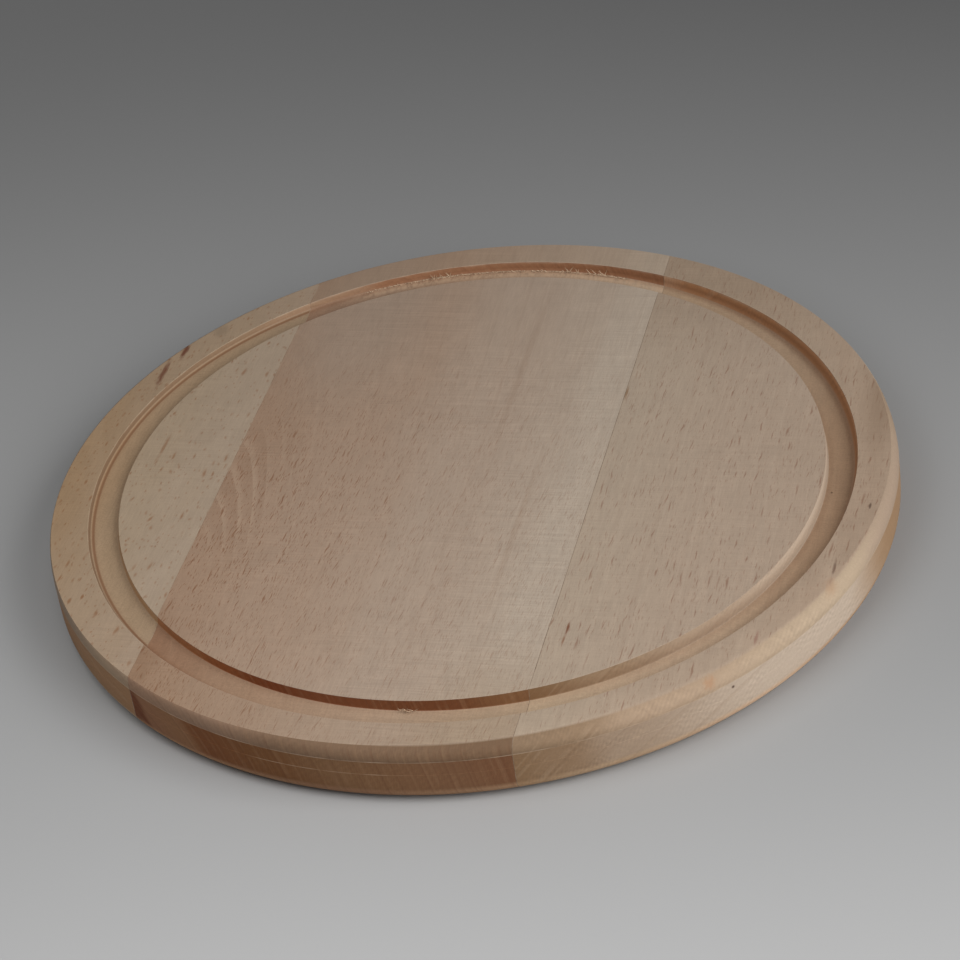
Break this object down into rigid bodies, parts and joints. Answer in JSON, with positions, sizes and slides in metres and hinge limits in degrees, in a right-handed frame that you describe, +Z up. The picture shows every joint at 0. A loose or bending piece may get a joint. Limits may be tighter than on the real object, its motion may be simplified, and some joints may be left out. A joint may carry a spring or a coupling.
{
  "type": "round cutting board",
  "caption": "Round solid-wood cutting board of edge-glued staves, with a juice groove near the rim and rounded edges.",
  "frame": {"origin": "centre of the flat underside", "axes": "+Z up through the cutting face, Y along the wood's grain, X across the staves from left to right"},
  "size_m": [0.25, 0.25, 0.018],
  "materials": {
    "beech_yellowish": "sanded, unoiled",
    "beech_pinkish": "sanded, unoiled",
    "beech_pale": "sanded, unoiled",
    "cured_glue": "matt, sanded flush"
  },
  "bodies": {
    "root": {"left_stave": "beech_yellowish", "left_glue_line": "cured_glue", "middle_stave": "beech_pinkish", "right_glue_line": "cured_glue", "right_stave": "beech_pale"}
  },
  "joints": []
}
